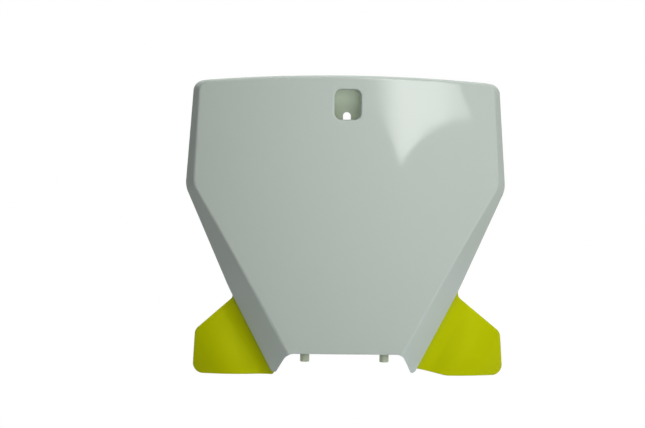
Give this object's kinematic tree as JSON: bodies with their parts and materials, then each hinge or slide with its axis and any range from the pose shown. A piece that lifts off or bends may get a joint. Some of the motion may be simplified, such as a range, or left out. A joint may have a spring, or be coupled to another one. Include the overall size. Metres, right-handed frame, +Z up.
{
  "type": "racing number board",
  "caption": "Bowed pale plastic number board for the front of an off-road motorcycle, with turned-back flanks, yellow lower wings, a recessed screw slot and locating pegs.",
  "frame": {"origin": "On the axis of the screw slot, in the rear face of the pocket floor, which seats on the motorcycle", "axes": "+X to the right as seen from in front of the motorcycle, +Y back towards the rider, +Z up"},
  "size_m": [0.2696, 0.0549, 0.2514],
  "materials": {
    "pale_shell": "glossy moulded polypropylene, pale grey-green white",
    "yellow_wing": "semi-gloss moulded polypropylene, fluorescent yellow"
  },
  "bodies": {
    "root": {"number_plate": "pale_shell", "left_wing": "yellow_wing", "right_wing": "yellow_wing"}
  },
  "joints": []
}
